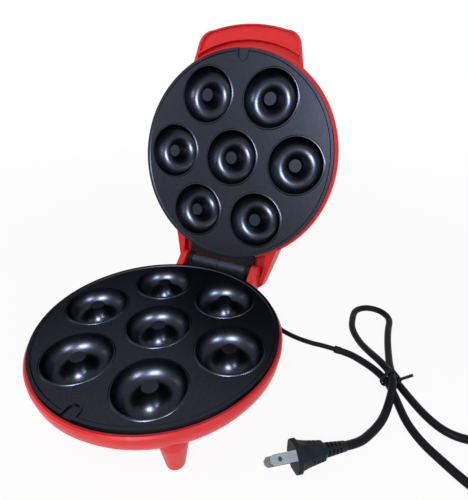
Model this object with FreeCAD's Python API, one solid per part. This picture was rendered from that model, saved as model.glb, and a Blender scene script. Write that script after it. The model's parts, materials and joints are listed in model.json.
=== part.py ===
import FreeCAD, Part
import math
import os
from FreeCAD import Vector

# Donut maker: two hinged non-stick plates in moulded shells, with a tied mains cord.
# Millimetres, +Z up, table at z = 0, front at -Y. The lid stands open.
# A half's own frame has its cooking face at z = 0 and its depth along +Z.

# Stance and hinge
FACE_Z = 48.0
PLATE_GAP = 2.0
OPEN_ANGLE = 104.7
HINGE_REACH = 7.0
AXIS_Y = -39.8

# Cooking plates
PLATE_MARGIN = 7.6
PLATE_WALL = 3.0
RIM_BEAD_W = 2.4
RIM_BEAD_H = 0.8
WELL_R = 25.0
WELL_WEB = 12.4
WELL_RING_COUNT = 6
WELL_DEPTH = 12.5
LIP_W = 1.5
LIP_H = 0.8
WELL_POST_R = 5.6
WELL_POST_RISE = 0.3
CUP_WALL = 2.5
NOTCH_W = 8.5
NOTCH_LEN = 10.0
NOTCH_DEPTH = 0.6
NOTCH_BEAD_W = 1.3

# Screw posts of the plates
POST_INSET = 15.0
POST_ANGLES = (30.0, 150.0, 210.0, 330.0)
POST_R = 4.2
POST_LEN = 13.7
SCREW_R = 1.5
SCREW_GAP = 0.1
SCREW_GRIP = 8.0
HEAD_R = 3.0
HEAD_H = 2.0

# Moulded shells
SHELL_OVERHANG = 2.8
SHELL_WALL = 2.4
RIM_DROP = 3.0
RIM_SEAT_W = 3.0
RIM_SEAT_H = 2.4
RIM_CHAMFER = 1.2
BAND_DEPTH = 7.0
BASE_DEPTH = 30.0
BASE_SHOULDER_RATIO = 0.87
BASE_FLAT_R = 45.0
LID_DEPTH = 33.0
LID_SHOULDER_RATIO = 0.69
SHOULDER_BANDS = 4
CROWN_BANDS = 2

# Legs and foot pads
LEG_INSET = 12.0
LEG_ANGLES = (-130.0, -50.0, 73.4, 106.6)
LEG_TOP_R = 10.0
LEG_FOOT_R = 6.5
LEG_WALL = 2.3
LEG_ROUND = 2.6
LEG_ROOT = 14.0
PAD_R = 3.6
PAD_H = 1.8
PAD_PROUD = 0.4
PAD_GAP = 0.15

# Hinge
PIN_R = 2.5
PIN_GAP = 0.05
SLEEVE_R = 5.6
SLEEVE_LEN = 28.3
SLEEVE_SEAM = 0.6
EYE_R = 6.3
EAR_T = 2.5
EAR_GAP = 0.5
LEAF_T = 1.6
LEAF_INSET = 4.0
LEAF_W = 8.5
WEB_GAP = 0.5
SLOT_GAP = 0.4
LUG_R = 6.8
LUG_T = 7.0
LUG_GAP = 0.8
LUG_ROOT = 10.0
LUG_DEPTH = 14.0
BLOCK_TOP = 9.0
BLOCK_FLOOR = 27.0
BLOCK_WALL = 3.0
STOP_GAP = 0.3

# Lid's rear housing and front handle
HOUSING_FACE = 4.0
HOUSING_FLARE = 13.0
HOUSING_SIDE_GAP = 2.6
HOUSING_ROOT = 28.0
HOUSING_REACH = 16.2
HOUSING_ROOF = 17.0
HOUSING_WALL = 4.0
HOUSING_CORNER = 3.0
HANDLE_ROOT_HALF = 55.0
HANDLE_TIP_HALF = 36.0
HANDLE_LEN = 18.5
HANDLE_BOW = 5.0
HANDLE_TAPER = 4.8
HANDLE_FACE = 8.5
HANDLE_T = 8.0
HANDLE_LIP = 2.0
HANDLE_DISH = 2.2
HANDLE_GROOVE_W = 4.8
HANDLE_GROOVE_D = 5.5
HANDLE_RIB_W = 1.6

# Inner pieces
HEATER_R = 3.2
HEATER_SIDES = 6
TERMINAL_X = 8.0
TERMINAL_R = 1.5
TERMINAL_LEN = 6.0
SHIELD_T = 0.8
SHIELD_MARGIN = 7.0
SHIELD_CORNER = 12.0
SHIELD_HOLE_R = 12.0
THERMOSTAT_R = 8.0
THERMOSTAT_H = 7.0
TAB_X = 4.5
TAB_T = 0.8
TAB_LEN = 3.0
FUSE_SIZE = (14.0, 6.0, 5.0)
BLOCK_SIZE = (26.0, 12.0)
BLOCK_CLEAR = 2.1
BLOCK_AT = (0.0, -30.0)
WIRE_STUB = 8.0
WIRE_SWING = 10.0
WIRE_R = 1.1
LENS_X = 9.0
LENS_INSET = 38.0
LENS_R = 3.2
LENS_GAP = 0.15
LENS_PROUD = 1.4
LENS_FLANGE = 1.2
LAMP_R = 2.2
LAMP_LEN = 7.0
HOLDER_WALL = 2.0
BRACKET_SCREW_X = 12.0
BRACKET_SCREW_R = 1.3
BRACKET_HEAD_R = 2.6
BRACKET_TAB_HALF = 19.0
BRACKET_TAB_H = 10.0
SHELL_SCREW_X = 14.0

# Gland, cord and plug; x and y of their points are measured from the gland's mouth
GLAND_INSET = 7.3
GLAND_R = 4.4
GLAND_TILT = 50.0
GLAND_BEND = 8.0
GLAND_LEN = 16.0
GLAND_TIP_R = 3.0
GLAND_FLANGE = 1.4
LEAD_R = 2.2
LEAD_FIRST_RUN = 7.0
CORD_R = 3.05
CORD_SIDES = 8
TURN_SHARE = 0.45
LEAD_ROUTE = (
    (11.2, -1.3, 5.4), (19.2, -3.4, 3.6), (32.2, -5.5, 2.6), (48.2, -6.3, 2.7), (55.2, -5.9, 3.4),
    (66.8, -5.9, 3.4),
)
CORD_ROUTE = (
    (66.8, -5.9, 3.4), (79.2, -5.9, 3.4), (91.2, -10.5, 3.6), (102.7, -17.1, 4.5),
    (113.2, -26.0, 4.9), (119.6, -36.2, 4.3), (125.0, -47.7, 3.4), (131.6, -61.0, 3.4),
    (141.7, -72.7, 3.4), (153.7, -81.1, 3.4), (164.6, -88.3, 3.4), (174.2, -93.6, 3.4),
    (190.7, -94.9, 3.4), (202.4, -83.5, 3.4), (202.4, -66.5, 3.4), (190.7, -54.9, 3.4),
    (174.2, -55.7, 3.4), (164.2, -57.3, 3.4), (154.8, -55.6, 3.4), (145.5, -49.8, 3.4),
    (136.5, -41.3, 3.5), (128.2, -32.5, 4.3), (119.0, -22.3, 4.9), (114.2, -9.2, 4.3),
    (111.6, 6.5, 3.4), (108.9, 24.5, 3.4), (107.3, 43.5, 3.4), (107.5, 61.0, 3.4),
    (97.4, 71.1, 3.4), (83.2, 71.1, 3.4), (73.1, 61.0, 3.4), (73.3, 45.5, 3.4), (75.6, 29.5, 3.4),
    (85.2, 13.5, 3.4), (95.4, -0.3, 7.0), (106.0, -12.7, 10.8), (115.6, -24.0, 11.4),
    (118.1, -35.5, 11.7), (117.7, -47.3, 7.4), (116.4, -58.2, 3.4), (113.8, -69.2, 3.4),
    (109.0, -80.5, 3.4),
)
CORD_END = (94.8, -98.9, 5.0)
CORD_LAST_RUN = 11.0
PLUG_FACE = (65.9, -125.5, 10.6)
PLUG_ROLL = 30.0
PLUG_FLANGE = (21.5, 15.5, 3.5)
PLUG_WAIST = (16.5, 14.0)
PLUG_WAIST_AT = 9.0
PLUG_BACK = (12.6, 11.4)
PLUG_BACK_AT = 22.0
PLUG_CORNER = 0.28
RELIEF = (9.8, 9.4)
RELIEF_AT = 23.0
RELIEF_RIBS = 4
RELIEF_PITCH = 3.1
RELIEF_SLOT = 1.5
RELIEF_SLOT_D = 1.3
RELIEF_WEB = 0.9
BLADE_W = 6.4
BLADE_T = 1.5
BLADE_LEN = 18.0
BLADE_PITCH = 12.7
BLADE_HOLE_R = 1.6
BLADE_HOLE_AT = 11.7
BLADE_POINT = 2.0
TIE_AT = (116.1, -24.2)
TIE_HEADING = -57.0
TIE_REACH = 16.0
TIE_CLEAR = 1.2
TIE_T = 0.6
TIE_W = 3.2
TIE_TAIL = (11.0, 2.0, 1.2)

# Worked out from the sizes above
WELL_RING_R = 2 * WELL_R + WELL_WEB
PLATE_R = WELL_RING_R + WELL_R + PLATE_MARGIN
POST_RING_R = PLATE_R - POST_INSET
HEATER_RING_R = WELL_RING_R / 2
SHELL_R = PLATE_R + SHELL_OVERHANG
BASE_SHOULDER_R = BASE_SHOULDER_RATIO * (BASE_DEPTH - BAND_DEPTH)
LID_SHOULDER_R = LID_SHOULDER_RATIO * (LID_DEPTH - BAND_DEPTH)
RIM_SEAT_R = PLATE_R - RIM_SEAT_W
LEAF_Y1 = PLATE_R - LEAF_INSET
LEAF_Y0 = LEAF_Y1 - LEAF_W
HINGE_Y = SHELL_R + HINGE_REACH
HINGE_DEPTH = -PLATE_GAP / 2
HINGE_Z = FACE_Z + PLATE_GAP / 2
CUP_BOTTOM = WELL_DEPTH + CUP_WALL
SHIELD_Z = PLATE_WALL + POST_LEN
BOSS_Z = SHIELD_Z + SHIELD_T
BLOCK_H = BASE_DEPTH - SHELL_WALL - BOSS_Z - BLOCK_CLEAR
EAR_X_BASE = SLEEVE_LEN + SLEEVE_SEAM / 2 + EAR_GAP
EAR_X_LID = EAR_X_BASE + EAR_T + EAR_GAP
LUG_X = EAR_X_LID + EAR_T + LUG_GAP
BLOCK_HALF = LUG_X + LUG_T
GLAND_Y = SHELL_R - GLAND_INSET
GLAND_START = BLOCK_HALF + SCREW_GAP
GLAND_DEPTH = (BLOCK_TOP + BLOCK_FLOOR) / 2
HOUSING_ROOT_Y = SHELL_R - HOUSING_ROOT
HOUSING_END_Y = HINGE_Y + HOUSING_REACH
HOUSING_END_HALF = BLOCK_HALF + HOUSING_SIDE_GAP
HOUSING_ROOT_HALF = HOUSING_END_HALF + HOUSING_FLARE
HANDLE_REACH = SHELL_R + HANDLE_LEN
LENS_AT = (LENS_X, LENS_INSET - SHELL_R)
X_AXIS = Vector(1, 0, 0)
Y_AXIS = Vector(0, 1, 0)
Z_AXIS = Vector(0, 0, 1)
ORIGIN = Vector(0, 0, 0)


def outline(points):
    """A closed wire of straight edges through the points."""
    return Part.makePolygon(list(points) + [points[0]])


def revolved(profile):
    """A solid turned about Z from (radius, height) points."""
    face = Part.Face(outline([Vector(r, 0, z) for r, z in profile]))
    return face.revolve(ORIGIN, Z_AXIS, 360)


def prism_z(points, low, high):
    """A solid from (x, y) points, between two heights."""
    face = Part.Face(outline([Vector(x, y, low) for x, y in points]))
    return face.extrude(Vector(0, 0, high - low))


def prism_x(points, low, high):
    """A solid from (y, z) points, between two x values."""
    face = Part.Face(outline([Vector(low, y, z) for y, z in points]))
    return face.extrude(Vector(high - low, 0, 0))


def rod(radius, start, end):
    """A cylinder between two points."""
    start, end = Vector(*start), Vector(*end)
    return Part.makeCylinder(radius, (end - start).Length, start, end - start)


def block(low, high):
    """A box between two corners."""
    low, high = Vector(*low), Vector(*high)
    size = high - low
    return Part.makeBox(size.x, size.y, size.z, low)


def joined(shapes):
    """One solid from overlapping solids."""
    return shapes[0].multiFuse(shapes[1:]).removeSplitter()


def screw(shank_r, head_r, tip, seat, top):
    """A screw with six-sided head and shank, from its tip to its head's top."""
    def six_sided(radius, start, end):
        ahead = (end - start).normalize()
        side = X_AXIS if abs(ahead.x) < 0.5 else Y_AXIS
        corners = [start + side * x + ahead.cross(side) * y for x, y in around(radius, range(0, 360, 60))]
        return Part.Face(outline(corners)).extrude((end - start).Length * ahead)

    tip, seat, top = Vector(*tip), Vector(*seat), Vector(*top)
    return six_sided(shank_r, tip, seat).fuse(six_sided(head_r, seat, top)).removeSplitter()


def both_sides(shape):
    """The shape and its mirror image across x = 0."""
    return [shape, shape.mirror(ORIGIN, X_AXIS)]


def around(radius, angles):
    """(x, y) points on a circle, at angles in degrees."""
    return [
        (radius * math.cos(math.radians(a)), radius * math.sin(math.radians(a)))
        for a in angles
    ]


def arc_points(centre, radius, start, end, count):
    """(r, z) points on an arc, count steps from one angle to the other."""
    points = []
    for i in range(count + 1):
        angle = math.radians(start + (end - start) * i / count)
        points.append((centre[0] + radius * math.cos(angle), centre[1] + radius * math.sin(angle)))
    return points


def in_base(shape):
    """A shape of the lower half, from the half's frame to its place."""
    placed = shape.copy()
    placed.rotate(ORIGIN, Y_AXIS, 180)
    placed.translate(Vector(0, AXIS_Y, FACE_Z))
    return placed


def in_lid(shape):
    """A shape of the upper half, from the half's frame to its place with the lid open."""
    placed = shape.copy()
    placed.translate(Vector(0, AXIS_Y, FACE_Z + PLATE_GAP))
    placed.rotate(Vector(0, AXIS_Y + HINGE_Y, HINGE_Z), X_AXIS, -OPEN_ANGLE)
    return placed


def beside_axis(point):
    """A point measured from the plate's axis, in the part's frame."""
    return Vector(point[0], point[1] + AXIS_Y, point[2])


def gland_ahead():
    """The direction in which the gland lets the lead out."""
    tilt = math.radians(GLAND_TILT)
    return Vector(math.cos(tilt), 0, -math.sin(tilt))


def gland_elbow():
    """The end of the gland's elbow, where its taper starts."""
    tilt = math.radians(GLAND_TILT)
    drop = GLAND_BEND * (1 - math.cos(tilt))
    ahead = GLAND_START + GLAND_BEND * math.sin(tilt)
    return beside_axis((ahead, GLAND_Y, FACE_Z - GLAND_DEPTH - drop))


def gland_mouth():
    return gland_elbow() + gland_ahead() * GLAND_LEN


def beside_gland(point):
    """A point measured from the gland's mouth, at its height above the table."""
    mouth = gland_mouth()
    return Vector(point[0] + mouth.x, point[1] + mouth.y, point[2])


def well_centres():
    step = 360.0 / WELL_RING_COUNT
    return [(0.0, 0.0)] + around(WELL_RING_R, [step * i for i in range(WELL_RING_COUNT)])


def well_groove():
    """The ring-shaped hollow of one well, a half ellipse in section round a flat post."""
    middle = (WELL_R + WELL_POST_R) / 2
    reach = (WELL_R - WELL_POST_R) / 2
    profile = [(0, -2 * LIP_H), (WELL_R, -2 * LIP_H), (WELL_R, -LIP_H)]
    for angle in (35, 70, 110, 145):
        turn = math.radians(angle)
        profile.append((middle + reach * math.cos(turn), WELL_DEPTH * math.sin(turn)))
    profile += [(WELL_POST_R, -WELL_POST_RISE), (0, -WELL_POST_RISE)]
    return revolved(profile)


def cooking_plate():
    """A cast plate: seven ring wells, raised lips and rim, a vent notch and four screw posts."""
    bead = PLATE_R - RIM_BEAD_W
    disc = revolved([
        (0, 0), (bead - RIM_BEAD_H, 0), (bead, -RIM_BEAD_H), (PLATE_R, -RIM_BEAD_H),
        (PLATE_R, PLATE_WALL), (0, PLATE_WALL),
    ])
    lip = Part.makeCone(WELL_R + LIP_W, WELL_R, LIP_H, ORIGIN, Vector(0, 0, -1))
    cup = rod(WELL_R + CUP_WALL, (0, 0, PLATE_WALL), (0, 0, CUP_BOTTOM))
    added, removed = [], []
    for x, y in well_centres():
        added += [lip.translated(Vector(x, y, 0)), cup.translated(Vector(x, y, 0))]
        removed.append(well_groove().translated(Vector(x, y, 0)))
    for x, y in around(POST_RING_R, POST_ANGLES):
        added.append(rod(POST_R, (x, y, PLATE_WALL), (x, y, SHIELD_Z)))
        removed.append(rod(SCREW_R + SCREW_GAP, (x, y, SHIELD_Z - SCREW_GRIP - 1), (x, y, SHIELD_Z)))
    for x in (-BRACKET_SCREW_X, BRACKET_SCREW_X):
        y = (LEAF_Y0 + LEAF_Y1) / 2
        removed.append(rod(BRACKET_SCREW_R, (x, y, 1), (x, y, PLATE_WALL)))
    notch_end = -(PLATE_R - NOTCH_LEN)
    ring = NOTCH_W / 2 + NOTCH_BEAD_W
    added.append(notch_shape(ring, notch_end, -RIM_BEAD_H, 0, PLATE_R - RIM_BEAD_W / 2))
    removed.append(notch_shape(NOTCH_W / 2, notch_end, -2 * RIM_BEAD_H, NOTCH_DEPTH, PLATE_R + 2))
    return joined([disc] + added).cut(Part.makeCompound(removed)).removeSplitter()


def notch_shape(half, inner_end, low, high, outer_r):
    """A slot from a round inner end out to the given radius, at the front."""
    centre_y = inner_end - NOTCH_W / 2
    slot = block((-half, -outer_r, low), (half, centre_y, high))
    return slot.fuse(rod(half, (0, centre_y, low), (0, centre_y, high)))


def heater_ends():
    """(x, y) of the heater's two terminals, on the two sides that meet behind the middle well."""
    y = (HEATER_RING_R - TERMINAL_X * math.sin(math.pi / 6)) / math.cos(math.pi / 6)
    return (-TERMINAL_X, y), (TERMINAL_X, y)


def heater():
    """A tubular heater bent round the middle well, its two ends turned up as terminals."""
    level = PLATE_WALL + HEATER_R * math.cos(math.pi / HEATER_SIDES)
    corners = around(HEATER_RING_R / math.cos(math.pi / 6), range(150, 391, 60))
    (left, y), (right, _) = heater_ends()
    points = [Vector(x, y, level) for x, y in [(left, y)] + corners + [(right, y)]]
    rise = Vector(0, 0, BOSS_Z + 2 - level)
    path = Part.makePolygon([points[0] + rise] + points + [points[-1] + rise])
    section = [
        points[0] + rise + Vector(x, y, 0)
        for x, y in around(HEATER_R, [360.0 * i / HEATER_SIDES for i in range(HEATER_SIDES)])
    ]
    tube = path.makePipeShell([outline(section)], True, False, 1)
    pins = []
    for end in (points[0] + rise, points[-1] + rise):
        pins.append(Part.makeCylinder(TERMINAL_R, TERMINAL_LEN + 1, end - Vector(0, 0, 1)))
    return joined([tube] + pins)


def heat_shield():
    """A sheet behind the heater, clamped on the plate's posts."""
    post_x, post_y = around(POST_RING_R, POST_ANGLES)[0]
    half_x, half_y = post_x + SHIELD_MARGIN, post_y + SHIELD_MARGIN
    cut = SHIELD_CORNER
    corners = [
        (half_x - cut, -half_y), (half_x, cut - half_y), (half_x, half_y - cut), (half_x - cut, half_y),
        (cut - half_x, half_y), (-half_x, half_y - cut), (-half_x, cut - half_y), (cut - half_x, -half_y),
    ]
    holes = [rod(SHIELD_HOLE_R, (0, 0, SHIELD_Z - 1), (0, 0, BOSS_Z + 1))]
    for x, y in around(POST_RING_R, POST_ANGLES):
        holes.append(rod(SCREW_R + SCREW_GAP, (x, y, SHIELD_Z - 1), (x, y, BOSS_Z + 1)))
    for x, y in heater_ends():
        holes.append(rod(HEATER_R + 1, (x, y, SHIELD_Z - 1), (x, y, BOSS_Z + 1)))
    return prism_z(corners, SHIELD_Z, BOSS_Z).cut(Part.makeCompound(holes))


def plate_screws(head_z):
    """Four screws into the plate's posts, their heads' undersides at the given depth."""
    screws = []
    for x, y in around(POST_RING_R, POST_ANGLES):
        tip, top = (x, y, SHIELD_Z - SCREW_GRIP), (x, y, head_z + HEAD_H)
        screws.append(screw(SCREW_R, HEAD_R, tip, (x, y, head_z), top))
    return Part.makeCompound(screws)


def shell_outline(depth, shoulder_r, flat_r, inset):
    """(r, z) points of a shell's side and crown, set in by a wall thickness."""
    centre = (SHELL_R - shoulder_r, BAND_DEPTH)
    fall = depth - BAND_DEPTH
    span = centre[0] - flat_r
    crown_r = (span ** 2 + fall ** 2 - shoulder_r ** 2) / (2 * (fall - shoulder_r))
    crown_centre = (flat_r, depth - crown_r)
    meet = math.degrees(math.atan2(centre[1] - crown_centre[1], centre[0] - crown_centre[0]))
    points = arc_points(centre, shoulder_r - inset, 0, meet, SHOULDER_BANDS)
    points += arc_points(crown_centre, crown_r - inset, meet, 90, CROWN_BANDS)[1:]
    return points


def shell_solid(depth, shoulder_r, flat_r):
    """The outer form of a shell, from its rim to its crown."""
    side = shell_outline(depth, shoulder_r, flat_r, 0)
    profile = [(0, RIM_DROP), (SHELL_R - RIM_CHAMFER, RIM_DROP), (SHELL_R, RIM_DROP + RIM_CHAMFER)]
    profile += side
    if flat_r > 0:
        profile.append((0, depth))
    return revolved(profile)


def shell_hollow(depth, shoulder_r, flat_r):
    """The inside of a shell, under the flat seat for the plate."""
    side = shell_outline(depth, shoulder_r, flat_r, SHELL_WALL)
    seat_z = RIM_DROP + RIM_SEAT_H
    profile = [(0, RIM_DROP - 1), (RIM_SEAT_R, RIM_DROP - 1), (RIM_SEAT_R, seat_z)]
    profile += side[::2]
    if profile[-1][0] > 0:
        profile.append((0, depth - SHELL_WALL))
    return revolved(profile)


def screw_bosses(depth, bore_r):
    """Posts that rise from a shell's wall to the heat shield, bored for screws."""
    return [
        rod(POST_R + 1, (x, y, BOSS_Z), (x, y, depth)).cut(rod(bore_r, (x, y, 0), (x, y, depth)))
        for x, y in around(POST_RING_R, POST_ANGLES)
    ]


def turned(y, z):
    """A point of the open lid's (y, z), measured from the hinge, in the lower half's frame."""
    angle = math.radians(OPEN_ANGLE)
    back = y * math.cos(angle) + z * math.sin(angle)
    drop = y * math.sin(angle) - z * math.cos(angle)
    return HINGE_Y + back, HINGE_DEPTH + drop


def leg_places():
    return around(SHELL_R - LEG_INSET, LEG_ANGLES)


def leg(x, y):
    """A tapered leg with a rounded foot."""
    foot_z = FACE_Z - PAD_PROUD
    root_z = BASE_DEPTH - LEG_ROOT
    return revolved([
        (0, root_z), (LEG_TOP_R, root_z), (LEG_TOP_R, root_z + LEG_ROOT / 2),
        (LEG_FOOT_R, foot_z - LEG_ROUND), (LEG_FOOT_R - 0.7 * LEG_ROUND, foot_z), (0, foot_z),
    ]).translated(Vector(x, y, 0))


def leg_hollow(x, y):
    """The room inside a leg, open to the bowl, and the pad's recess under it."""
    foot_z = FACE_Z - PAD_PROUD
    recess_z = FACE_Z - PAD_H
    room = rod(LEG_FOOT_R - LEG_WALL, (x, y, BASE_DEPTH - LEG_ROOT), (x, y, recess_z - LEG_WALL))
    return [room, rod(PAD_R + PAD_GAP, (x, y, recess_z), (x, y, foot_z + 1))]


def bracket_slots(ear_x):
    """Room in a shell's rim for a bracket's leaf and its two ears."""
    half = ear_x + EAR_T + SLOT_GAP
    ear = block((ear_x - SLOT_GAP, LEAF_Y0 - 2, RIM_DROP - 1), (half, SHELL_R + 2, RIM_DROP + 6))
    leaf = block((-half, LEAF_Y0 - 2, RIM_DROP - 1), (half, LEAF_Y1 + SLOT_GAP, RIM_DROP + 6))
    return both_sides(ear) + [leaf]


def base_shell():
    """The lower shell: a bowl with four legs, two hinge lugs and a hollow stop block."""
    bowl = shell_solid(BASE_DEPTH, BASE_SHOULDER_R, BASE_FLAT_R)
    root_y = SHELL_R - LUG_ROOT
    lug_profile = [
        (root_y, RIM_DROP + 2), (HINGE_Y - 0.8 * LUG_R, HINGE_DEPTH - 0.6 * LUG_R), (HINGE_Y, HINGE_DEPTH),
        (HINGE_Y + 0.7 * LUG_R, HINGE_DEPTH + 0.7 * LUG_R), (HINGE_Y - 0.7 * LUG_R, LUG_DEPTH),
        (root_y, LUG_DEPTH),
    ]
    eye = rod(LUG_R, (LUG_X, HINGE_Y, HINGE_DEPTH), (LUG_X + LUG_T, HINGE_Y, HINGE_DEPTH))
    lug = prism_x(lug_profile, LUG_X, LUG_X + LUG_T).fuse(eye).removeSplitter()
    stops = [
        turned(HOUSING_END_Y - HOUSING_WALL * share - HINGE_Y, HOUSING_FACE - HINGE_DEPTH - STOP_GAP)
        for share in (1.0, 0.0)
    ]
    back = prism_x(
        [(root_y, BLOCK_TOP), (SHELL_R, BLOCK_TOP)] + stops + [(SHELL_R, BLOCK_FLOOR), (root_y, BLOCK_FLOOR)],
        -BLOCK_HALF, BLOCK_HALF,
    )
    inner = BLOCK_HALF - BLOCK_WALL
    roof, floor = BLOCK_TOP + BLOCK_WALL, BLOCK_FLOOR - BLOCK_WALL
    room_end = stops[1][0] - 1.3 * BLOCK_WALL
    room_back = SHELL_R - BLOCK_WALL / 2
    room = prism_x([
        (root_y - LUG_ROOT, roof), (room_back, roof), (room_end, roof + BLOCK_WALL), (room_back, floor),
        (root_y - LUG_ROOT, floor),
    ], -inner, inner)
    legs = [leg(x, y) for x, y in leg_places()]
    solid = joined([bowl, back] + both_sides(lug) + legs)
    hollow = [shell_hollow(BASE_DEPTH, BASE_SHOULDER_R, BASE_FLAT_R), room]
    for x, y in leg_places():
        hollow += leg_hollow(x, y)
    reach = LUG_X + LUG_T + 1
    hollow.append(rod(PIN_R + PIN_GAP, (-reach, HINGE_Y, HINGE_DEPTH), (reach, HINGE_Y, HINGE_DEPTH)))
    hollow.append(rod(GLAND_R, (1 - inner, GLAND_Y, GLAND_DEPTH), (-BLOCK_HALF - 1, GLAND_Y, GLAND_DEPTH)))
    shell = solid.cut(Part.makeCompound(hollow + bracket_slots(EAR_X_BASE)))
    bosses = [b.common(bowl) for b in screw_bosses(BASE_DEPTH, SCREW_R + SCREW_GAP)]
    shell = joined([shell] + bosses)
    sinks = []
    for x, y in around(POST_RING_R, POST_ANGLES):
        head = BOSS_Z + SHELL_WALL
        sinks.append(rod(HEAD_R + 3 * SCREW_GAP, (x, y, head), (x, y, BASE_DEPTH + 1)))
        sinks.append(rod(SCREW_R + SCREW_GAP, (x, y, BOSS_Z - 1), (x, y, head + 1)))
    return shell.cut(Part.makeCompound(sinks)).removeSplitter()


def foot_pads():
    """Four rubber pads in the legs."""
    pads = []
    for x, y in leg_places():
        pads.append(rod(PAD_R, (x, y, FACE_Z - PAD_H), (x, y, FACE_Z)))
    return Part.makeCompound(pads)


def hinge_bracket(ear_x, has_tab):
    """A steel bracket at a plate's rear edge: a leaf under it, a web and two ears for the hinge pin."""
    low, high = PLATE_WALL, PLATE_WALL + LEAF_T
    half = ear_x + EAR_T
    leaf = block((-half, LEAF_Y0, low), (half, LEAF_Y1, high))
    edge_y = math.sqrt(PLATE_R ** 2 - ear_x ** 2) + 1.2
    top = HINGE_DEPTH + WEB_GAP
    neck = prism_x([
        (LEAF_Y0, low), (edge_y, low), (edge_y, top), (HINGE_Y, top),
        (HINGE_Y, HINGE_DEPTH + EYE_R), (edge_y + 2, low + 4.6), (LEAF_Y0, low + 4.6),
    ], ear_x, ear_x + EAR_T)
    web_end = HINGE_Y - EYE_R - WEB_GAP
    web = block((-half, LEAF_Y0, top), (half, web_end, RIM_DROP - WEB_GAP))
    web = web.cut(rod(PLATE_R + WEB_GAP, (0, 0, top - 1), (0, 0, RIM_DROP)))
    eye = rod(EYE_R, (ear_x, HINGE_Y, HINGE_DEPTH), (ear_x + EAR_T, HINGE_Y, HINGE_DEPTH))
    ear = neck.fuse(eye).removeSplitter()
    solids = [leaf, web] + both_sides(ear)
    reach = half + 1
    holes = [rod(PIN_R + PIN_GAP, (-reach, HINGE_Y, HINGE_DEPTH), (reach, HINGE_Y, HINGE_DEPTH))]
    screw_y = (LEAF_Y0 + LEAF_Y1) / 2
    for x in (-BRACKET_SCREW_X, BRACKET_SCREW_X):
        holes.append(rod(BRACKET_SCREW_R, (x, screw_y, low - 1), (x, screw_y, high + 1)))
    if has_tab:
        tab_top = low + BRACKET_TAB_H
        solids.append(block((-BRACKET_TAB_HALF, LEAF_Y1 - LEAF_T, low), (BRACKET_TAB_HALF, LEAF_Y1, tab_top)))
        for x in (-SHELL_SCREW_X, SHELL_SCREW_X):
            z = low + BRACKET_TAB_H * 0.6
            holes.append(rod(BRACKET_SCREW_R, (x, LEAF_Y1 - 4, z), (x, LEAF_Y1 + 4, z)))
    return joined(solids).cut(Part.makeCompound(holes)).removeSplitter()


def bracket_screws():
    """Two screws that hold a bracket's leaf to its plate."""
    y = (LEAF_Y0 + LEAF_Y1) / 2
    seat = PLATE_WALL + LEAF_T
    screws = []
    for x in (-BRACKET_SCREW_X, BRACKET_SCREW_X):
        tip, top = (x, y, 1.2), (x, y, seat + 1.6)
        screws.append(screw(BRACKET_SCREW_R - SCREW_GAP / 2, BRACKET_HEAD_R, tip, (x, y, seat), top))
    return Part.makeCompound(screws)


def hinge_pin():
    """The steel pin through lugs, ears and barrels."""
    reach = LUG_X + LUG_T - 0.5
    return rod(PIN_R, (-reach, HINGE_Y, HINGE_DEPTH), (reach, HINGE_Y, HINGE_DEPTH))


def hinge_sleeve(side):
    """One half of the barrel round the pin."""
    start, end = side * SLEEVE_SEAM / 2, side * (SLEEVE_SEAM / 2 + SLEEVE_LEN)
    outer = rod(SLEEVE_R, (start, HINGE_Y, HINGE_DEPTH), (end, HINGE_Y, HINGE_DEPTH))
    bore = rod(PIN_R + PIN_GAP, (start - side, HINGE_Y, HINGE_DEPTH), (end + side, HINGE_Y, HINGE_DEPTH))
    return outer.cut(bore)


def handle_outline(scale):
    """The handle's plan as a wire at z = 0, drawn in towards its middle by a scale."""
    middle_y = -PLATE_R
    root_y, side_y, tip_y = -POST_RING_R, -SHELL_R - RIM_CHAMFER, HANDLE_BOW - HANDLE_REACH

    def at(x, y):
        return Vector(x * scale, middle_y + (y - middle_y) * scale, 0)

    root, side, tip = HANDLE_ROOT_HALF, HANDLE_ROOT_HALF - HANDLE_TAPER, HANDLE_TIP_HALF
    corner = (tip + 0.7 * (side - tip), tip_y + 0.35 * (side_y - tip_y))
    edges = [
        Part.LineSegment(at(root, root_y), at(side, side_y)),
        Part.Arc(at(side, side_y), at(*corner), at(tip, tip_y)),
        Part.Arc(at(tip, tip_y), at(0, -HANDLE_REACH), at(-tip, tip_y)),
        Part.Arc(at(-tip, tip_y), at(-corner[0], corner[1]), at(-side, side_y)),
        Part.LineSegment(at(-side, side_y), at(-root, root_y)),
        Part.LineSegment(at(-root, root_y), at(root, root_y)),
    ]
    return Part.Wire([e.toShape() for e in edges])


def lift_handle():
    """The front handle: a tapered slab, dished and grooved on the side that faces the base."""
    low = handle_outline(1.0)
    low.translate(Vector(0, 0, HANDLE_FACE))
    high = handle_outline(0.93)
    high.translate(Vector(0, 0, HANDLE_FACE + HANDLE_T))
    slab = Part.makeLoft([low, high], True, True)
    inset = handle_outline(1.0 - HANDLE_LIP / HANDLE_TIP_HALF)
    groove_r = SHELL_R + 1.0
    rib_r = groove_r + HANDLE_GROOVE_W
    room = Part.Face(inset).extrude(Vector(0, 0, HANDLE_FACE + HANDLE_T))
    ring = rod(rib_r, (0, 0, 0), (0, 0, HANDLE_FACE + HANDLE_GROOVE_D))
    groove = ring.cut(rod(groove_r, (0, 0, -1), (0, 0, HANDLE_FACE + HANDLE_T))).common(room)
    dish = rod(2 * HANDLE_REACH, (0, 0, 0), (0, 0, HANDLE_FACE + HANDLE_DISH))
    dish = dish.common(room).cut(rod(rib_r + HANDLE_RIB_W, (0, 0, -1), (0, 0, HANDLE_FACE + HANDLE_T)))
    return slab.cut(Part.makeCompound([groove, dish]))


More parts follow.
